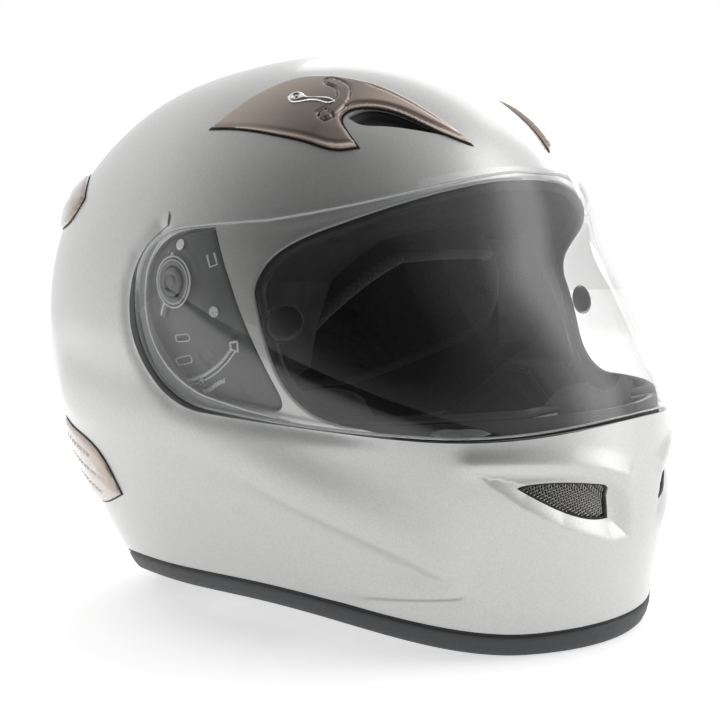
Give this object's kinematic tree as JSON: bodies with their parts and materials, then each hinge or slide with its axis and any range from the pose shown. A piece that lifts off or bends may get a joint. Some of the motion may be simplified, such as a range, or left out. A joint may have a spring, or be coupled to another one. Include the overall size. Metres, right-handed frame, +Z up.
{
  "type": "full face motorcycle helmet",
  "caption": "Full-face motorcycle helmet: silver shell, clear pivoting visor, bronze vents, padded lining and chin strap.",
  "frame": {"origin": "middle of the helmet's footprint, on the surface that it stands on", "axes": "+Z up; the face looks along -Y; the rider's left hand side is +X"},
  "size_m": [0.2588, 0.3454, 0.2685],
  "materials": {
    "silver_paint": "satin metallic paint under clear coat",
    "clear_visor": "polished clear polycarbonate",
    "bronze_paint": "satin brown bronze",
    "smoked_vent": "tinted translucent",
    "black_plastic": "fine moulded texture",
    "black_rubber": "matt",
    "steel": "brushed",
    "chrome": "polished",
    "mesh_black": "woven mesh",
    "foam_grey": "moulded bead foam",
    "lining_black": "brushed knit",
    "webbing_black": "woven webbing"
  },
  "bodies": {
    "helmet": {"outer_shell": "silver_paint", "top_vent_right": "bronze_paint", "top_vent_left": "bronze_paint", "rear_exhaust_right": "bronze_paint", "rear_exhaust_left": "bronze_paint", "rear_extractor_right": "smoked_vent", "rear_extractor_left": "smoked_vent", "base_plate_right": "black_plastic", "base_plate_left": "black_plastic", "pivot_hub_right": "black_plastic", "pivot_hub_left": "black_plastic", "top_duct_right": "black_plastic", "top_duct_left": "black_plastic", "strap_snap": "black_plastic", "lower_trim": "black_rubber", "port_gasket": "black_rubber", "breath_deflector": "black_rubber", "plate_screw_1_right": "steel", "plate_screw_1_left": "steel", "plate_screw_2_right": "steel", "plate_screw_2_left": "steel", "plate_screw_3_right": "steel", "plate_screw_3_left": "steel", "strap_anchor_right": "steel", "strap_anchor_left": "steel", "chin_grille_right": "mesh_black", "chin_grille_left": "mesh_black", "crown_foam": "foam_grey", "chin_foam": "foam_grey", "crown_liner": "lining_black", "cheek_pad_right": "lining_black", "cheek_pad_left": "lining_black", "neck_roll": "lining_black", "chin_curtain": "lining_black", "short_strap": "webbing_black", "long_strap": "webbing_black"},
    "visor": {"visor": "clear_visor", "visor_pin_right": "black_plastic", "visor_pin_left": "black_plastic"},
    "release_lever_right": {"release_lever_right": "black_plastic"},
    "release_lever_left": {"release_lever_left": "black_plastic"},
    "vent_lever_right": {"vent_lever_right": "chrome"},
    "vent_lever_left": {"vent_lever_left": "chrome"},
    "d_ring_outer": {"d_ring_outer": "steel"},
    "d_ring_inner": {"d_ring_inner": "steel"}
  },
  "joints": [
    {"name": "visor_hinge", "type": "hinge", "parent": "helmet", "child": "visor", "pos_m": [0, -0.02, 0.16], "axis": [-1, 0, 0], "range_deg": [0, 40]},
    {"name": "release_right", "type": "hinge", "parent": "helmet", "child": "release_lever_right", "pos_m": [0, -0.02, 0.16], "axis": [1, 0, 0], "range_deg": [0, 12], "stiffness_Nm_per_rad": 0.4, "springref_deg": -1.15},
    {"name": "release_left", "type": "hinge", "parent": "helmet", "child": "release_lever_left", "pos_m": [0, -0.02, 0.16], "axis": [1, 0, 0], "range_deg": [0, 12], "stiffness_Nm_per_rad": 0.4, "springref_deg": -1.15},
    {"name": "vent_slide_right", "type": "slide", "parent": "helmet", "child": "vent_lever_right", "axis": [-0.5661, 0.8172, 0.108], "range_m": [0, 0.008]},
    {"name": "vent_slide_left", "type": "slide", "parent": "helmet", "child": "vent_lever_left", "axis": [0.5661, 0.8172, 0.108], "range_m": [0, 0.008]},
    {"name": "d_ring_outer_swing", "type": "hinge", "parent": "helmet", "child": "d_ring_outer", "pos_m": [-0.0707, 0.023, 0.031], "axis": [0, 1, 0], "range_deg": [0, 50]},
    {"name": "d_ring_inner_swing", "type": "hinge", "parent": "helmet", "child": "d_ring_inner", "pos_m": [-0.0657, 0.023, 0.031], "axis": [0, -1, 0], "range_deg": [0, 50]}
  ]
}
